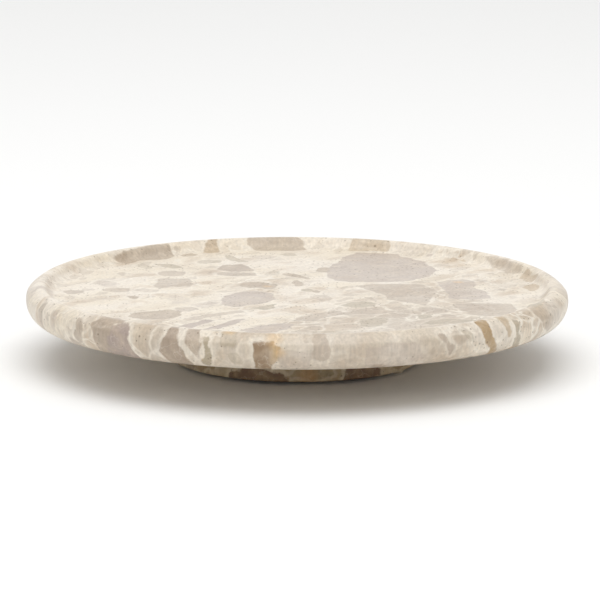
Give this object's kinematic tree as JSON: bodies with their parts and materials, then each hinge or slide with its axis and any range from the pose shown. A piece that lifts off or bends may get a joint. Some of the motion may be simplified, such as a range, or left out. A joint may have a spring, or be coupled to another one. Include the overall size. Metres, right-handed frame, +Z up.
{
  "type": "lazy susan turntable",
  "caption": "Round rimmed marble serving tray that turns by hand on a hidden ring bearing over a smaller round marble base with clear bumper feet.",
  "frame": {"origin": "middle of the plane that the three feet stand on, on the axis of rotation", "axes": "+Z up along the axis of rotation, +X to the right and +Y away from a person in front"},
  "size_m": [0.305, 0.305, 0.0445],
  "materials": {
    "tray_marble": "satin",
    "base_marble": "satin",
    "ring_aluminium": "satin",
    "ball_steel": "polished",
    "cage_nylon": "satin",
    "insert_brass": "satin",
    "screw_steel": "satin",
    "foot_clear": "gloss"
  },
  "bodies": {
    "base": {"base_disc": "base_marble", "bearing_inner_lower": "ring_aluminium", "bearing_inner_upper": "ring_aluminium", "base_screw_1": "screw_steel", "base_screw_2": "screw_steel", "base_screw_3": "screw_steel", "base_screw_4": "screw_steel", "bumper_foot_1": "foot_clear", "bumper_foot_2": "foot_clear", "bumper_foot_3": "foot_clear"},
    "turntable": {"turntable_plate": "tray_marble", "bearing_outer_ring": "ring_aluminium", "plate_insert_1": "insert_brass", "plate_insert_2": "insert_brass", "plate_insert_3": "insert_brass", "plate_insert_4": "insert_brass", "ring_screw_1": "screw_steel", "ring_screw_2": "screw_steel", "ring_screw_3": "screw_steel", "ring_screw_4": "screw_steel"},
    "cage": {"ball_cage": "cage_nylon", "bearing_ball_01": "ball_steel", "bearing_ball_02": "ball_steel", "bearing_ball_03": "ball_steel", "bearing_ball_04": "ball_steel", "bearing_ball_05": "ball_steel", "bearing_ball_06": "ball_steel", "bearing_ball_07": "ball_steel", "bearing_ball_08": "ball_steel", "bearing_ball_09": "ball_steel", "bearing_ball_10": "ball_steel", "bearing_ball_11": "ball_steel", "bearing_ball_12": "ball_steel", "bearing_ball_13": "ball_steel", "bearing_ball_14": "ball_steel", "bearing_ball_15": "ball_steel", "bearing_ball_16": "ball_steel", "bearing_ball_17": "ball_steel", "bearing_ball_18": "ball_steel", "bearing_ball_19": "ball_steel", "bearing_ball_20": "ball_steel", "bearing_ball_21": "ball_steel", "bearing_ball_22": "ball_steel", "bearing_ball_23": "ball_steel", "bearing_ball_24": "ball_steel"}
  },
  "joints": [
    {"name": "plate_spin", "type": "hinge", "parent": "base", "child": "turntable", "pos_m": [0, 0, 0.02025], "axis": [0, 0, 1], "continuous": true},
    {"name": "cage_spin", "type": "hinge", "parent": "base", "child": "cage", "pos_m": [0, 0, 0.02025], "axis": [0, 0, 1], "continuous": true}
  ],
  "couplings": [
    {"joint": "cage_spin", "follows": "plate_spin", "ratio": 0.5}
  ]
}
